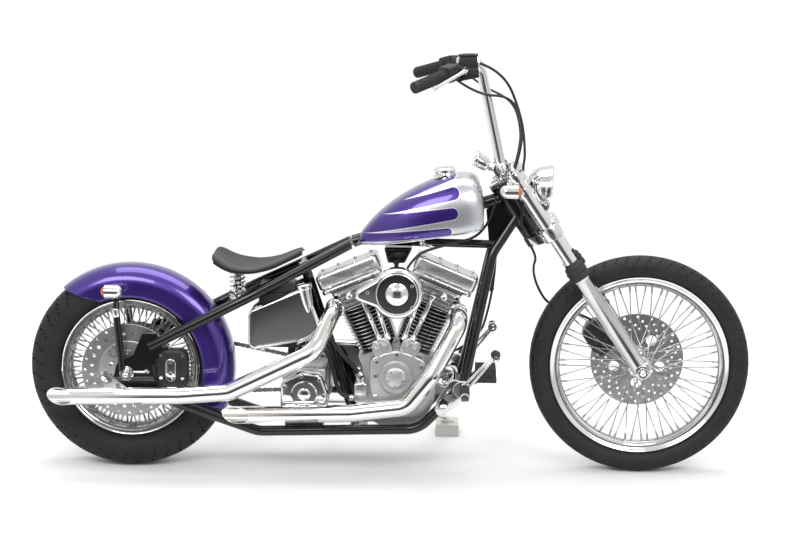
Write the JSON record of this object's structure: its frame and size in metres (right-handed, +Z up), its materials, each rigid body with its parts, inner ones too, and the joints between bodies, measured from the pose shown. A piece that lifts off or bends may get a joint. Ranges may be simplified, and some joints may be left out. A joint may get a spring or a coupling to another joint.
{
  "type": "chopper motorcycle",
  "caption": "Rigid-frame chopper with raked telescopic fork, wire wheels, high handlebar, air-cooled V-twin, twin slash-cut pipes and sprung solo seat, leaning on its side stand.",
  "frame": {"origin": "centre of the bounding box in X and Y, on the floor under the tyres", "axes": "+X forward along the machine, +Y to the rider's left, +Z up from the floor; the machine leans 3.5 degrees to the left"},
  "size_m": [2.239, 0.7108, 1.3164],
  "materials": {
    "frame_black": "gloss",
    "purple_paint": "gloss metallic",
    "chrome": "polished",
    "chain_steel": "satin",
    "brushed_steel": "brushed",
    "caliper_black": "satin",
    "amber_lens": "gloss",
    "clear_glass": "gloss",
    "black_vinyl": "satin",
    "engine_aluminium": "satin",
    "engine_black": "satin",
    "black_plastic": "satin",
    "grip_rubber": "matte",
    "tyre_rubber": "matte",
    "wood_block": "painted matte"
  },
  "bodies": {
    "chassis": {"frame_spine": "frame_black", "frame_rails": "frame_black", "frame_stays": "frame_black", "frame_seat_post": "frame_black", "frame_cross_tubes": "frame_black", "rear_axle": "chrome", "drive_chain": "chain_steel", "rear_caliper": "caliper_black", "rear_fender": "purple_paint", "fender_struts": "frame_black", "rear_signals": "chrome", "rear_signal_lenses": "amber_lens", "fuel_tank": "purple_paint", "tank_cap": "chrome", "seat": "black_vinyl", "seat_springs": "chrome", "crankcase": "engine_aluminium", "cylinders": "engine_black", "cylinder_heads": "engine_black", "rocker_covers": "engine_aluminium", "cam_cover": "engine_aluminium", "push_rod_tubes": "chrome", "air_cleaner": "chrome", "carburettor": "engine_aluminium", "gearbox": "chrome", "primary_cover": "chrome", "oil_tank": "chrome", "battery": "black_plastic", "coil_bracket": "chrome", "oil_filter": "chrome", "regulator": "engine_black", "exhaust_pipes": "chrome", "foot_controls": "chrome", "stand_block": "wood_block"},
    "rear_wheel": {"rear_tyre": "tyre_rubber", "rear_rim": "chrome", "rear_hub": "chrome", "rear_spokes": "chrome", "rear_disc": "brushed_steel", "rear_sprocket": "brushed_steel"},
    "steering": {"fork_tubes": "chrome", "fork_sliders": "engine_aluminium", "triple_clamps": "chrome", "front_axle": "chrome", "front_caliper": "caliper_black", "handlebar": "chrome", "risers": "chrome", "grips": "grip_rubber", "hand_controls": "black_plastic", "headlight": "chrome", "headlight_lens": "clear_glass", "gauges": "chrome", "front_signals": "chrome", "front_signal_lenses": "amber_lens"},
    "front_wheel": {"front_tyre": "tyre_rubber", "front_rim": "chrome", "front_hub": "chrome", "front_spokes": "chrome", "front_disc": "brushed_steel"},
    "side_stand": {"side_stand": "chrome"}
  },
  "joints": [
    {"name": "rear_wheel_spin", "type": "hinge", "parent": "chassis", "child": "rear_wheel", "pos_m": [-0.8045, -0.02419, 0.31465], "axis": [0, 0.9981, -0.061], "continuous": true},
    {"name": "steering_turn", "type": "hinge", "parent": "chassis", "child": "steering", "pos_m": [0.39739, 0.00588, 0.8064], "axis": [-0.5592, 0.0506, 0.8275], "range_deg": [-30, 30]},
    {"name": "front_wheel_spin", "type": "hinge", "parent": "steering", "child": "front_wheel", "pos_m": [0.7785, -0.0226, 0.3406], "axis": [0, 0.9981, -0.061], "continuous": true},
    {"name": "side_stand_fold", "type": "hinge", "parent": "chassis", "child": "side_stand", "pos_m": [0.0955, 0.11757, 0.14267], "axis": [0.3277, 0.2913, 0.8988], "range_deg": [0, 106]}
  ]
}
